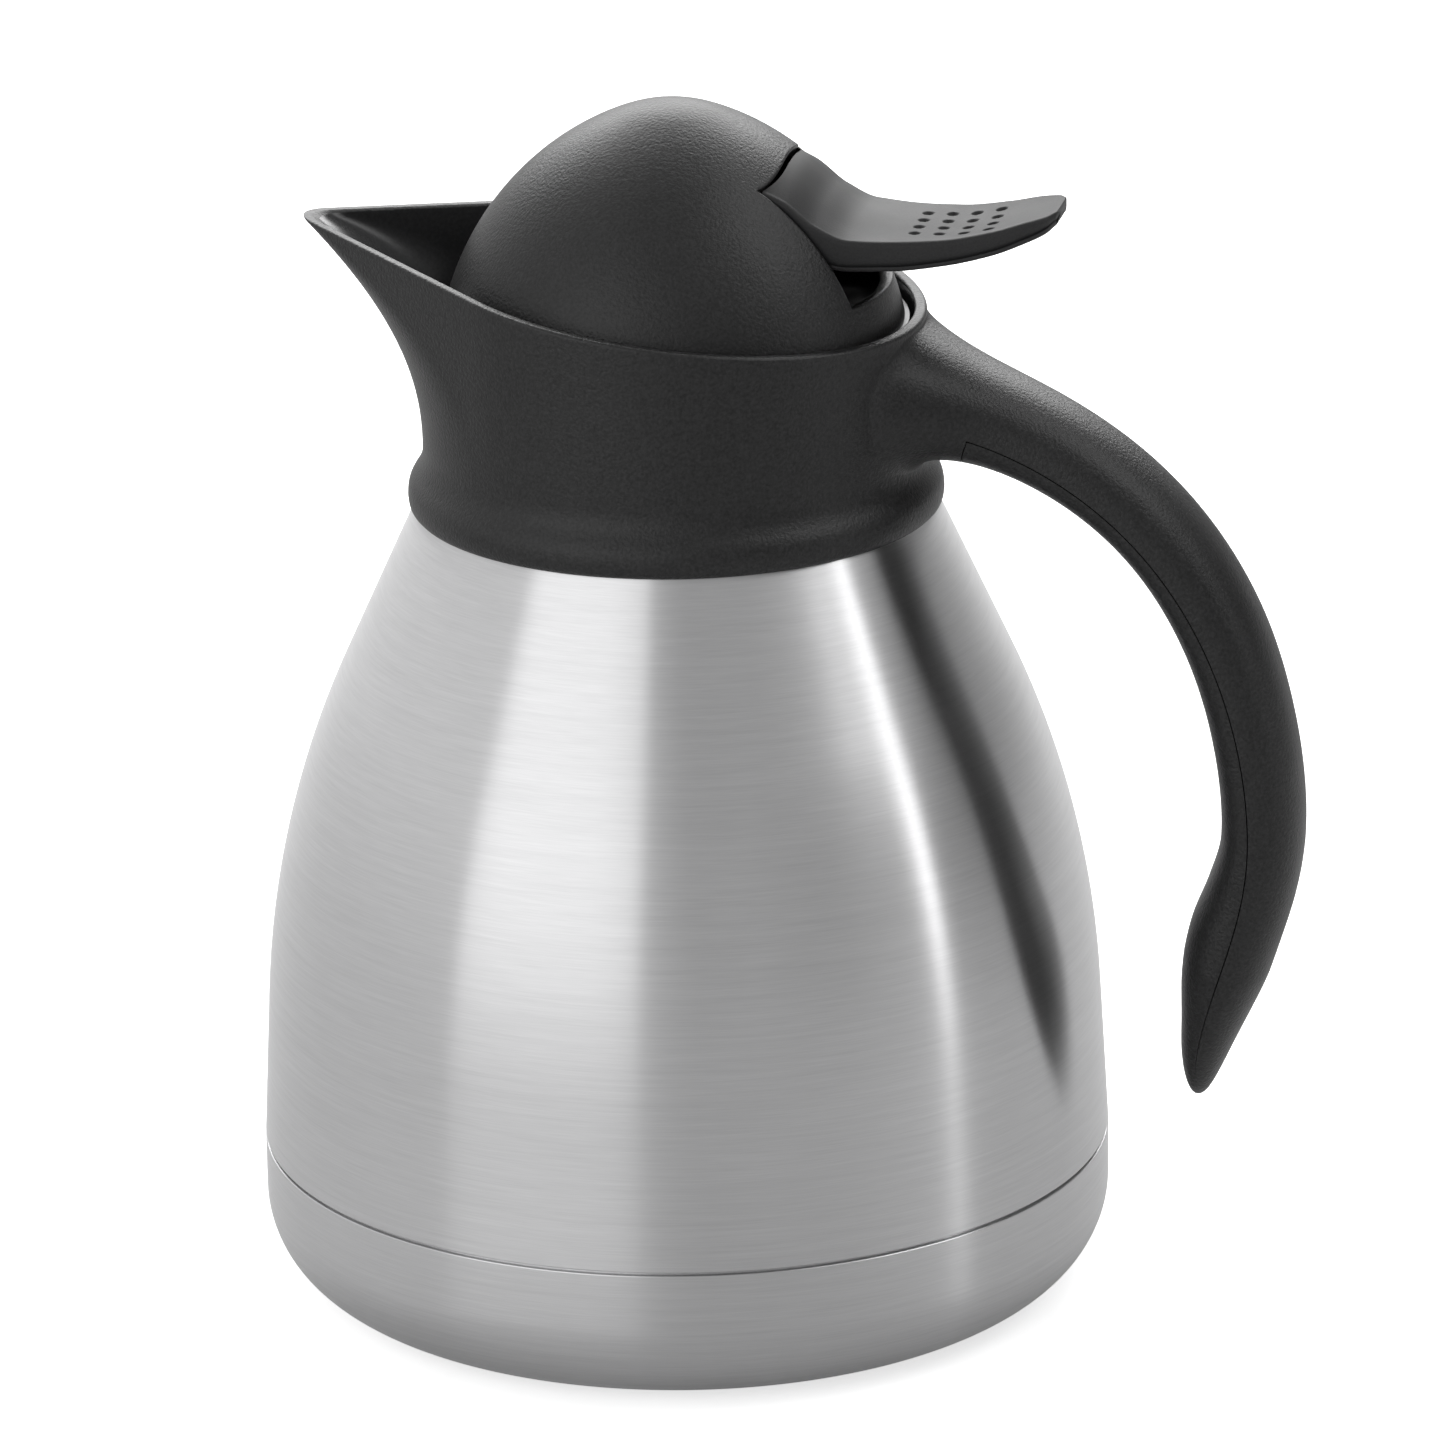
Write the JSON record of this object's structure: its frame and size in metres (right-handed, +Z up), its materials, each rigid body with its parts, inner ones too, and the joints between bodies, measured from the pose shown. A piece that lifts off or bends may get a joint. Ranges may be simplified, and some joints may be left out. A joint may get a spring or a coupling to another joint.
{
  "type": "insulated coffee pot",
  "caption": "Double-wall brushed steel coffee pot with a black moulded collar, open spout, curved one-sided handle and a domed screw lid whose thumb lever lifts the pouring valve.",
  "frame": {"origin": "middle of the base, on the surface that the pot stands on", "axes": "+Z up along the vessel's axis, +X towards the handle, spout towards -X"},
  "size_m": [0.1755, 0.14, 0.1995],
  "materials": {
    "brushed_shell": "fine brushing round the body",
    "inner_steel": "satin pressed sheet",
    "black_moulding": "fine matt moulded grain",
    "lever_moulding": "smooth satin moulding",
    "lid_inner": "smooth moulded polypropylene",
    "silicone": "soft silicone",
    "spring_wire": "bright drawn steel",
    "solder": "dull sealing metal"
  },
  "bodies": {
    "vessel": {"outer_shell": "brushed_shell", "base_cup": "brushed_shell", "inner_flask": "inner_steel", "inner_flask_bottom": "inner_steel", "getter": "solder", "vacuum_plug": "solder", "collar": "black_moulding", "handle_cover": "black_moulding", "mouth_gasket": "silicone", "neck_ring": "lid_inner"},
    "lid_seal": {"stopper_gasket": "silicone"},
    "lid": {"stopper_body": "lid_inner", "lever_carrier": "lid_inner", "carrier_screws": "spring_wire", "dome_cover": "black_moulding", "lever_pin": "spring_wire", "stem_guide": "lid_inner", "valve_spring": "spring_wire"},
    "lever": {"pour_lever": "lever_moulding"},
    "valve": {"valve_stem": "lid_inner", "stem_cap": "lid_inner", "valve_head": "lid_inner", "valve_seal": "silicone"}
  },
  "joints": [
    {"name": "lid_rise", "type": "slide", "parent": "vessel", "child": "lid_seal", "axis": [0, 0, 1], "range_m": [0, 0.08]},
    {"name": "lid_turn", "type": "hinge", "parent": "lid_seal", "child": "lid", "pos_m": [0, 0, 0.15], "axis": [0, 0, 1], "range_deg": [0, 720]},
    {"name": "lever_press", "type": "hinge", "parent": "lid", "child": "lever", "pos_m": [0.018, 0, 0.181], "axis": [0, 1, 0], "range_deg": [0, 12], "stiffness_Nm_per_rad": 0.5, "springref_deg": -5.73},
    {"name": "valve_lift", "type": "slide", "parent": "lid", "child": "valve", "axis": [0, 0, 1], "range_m": [0, 0.0039], "deforming": ["valve_spring"]}
  ],
  "couplings": [
    {"joint": "lid_turn", "follows": "lid_rise", "rad_per_m": 157.08},
    {"joint": "valve_lift", "follows": "lever_press", "m_per_rad": 0.018}
  ]
}
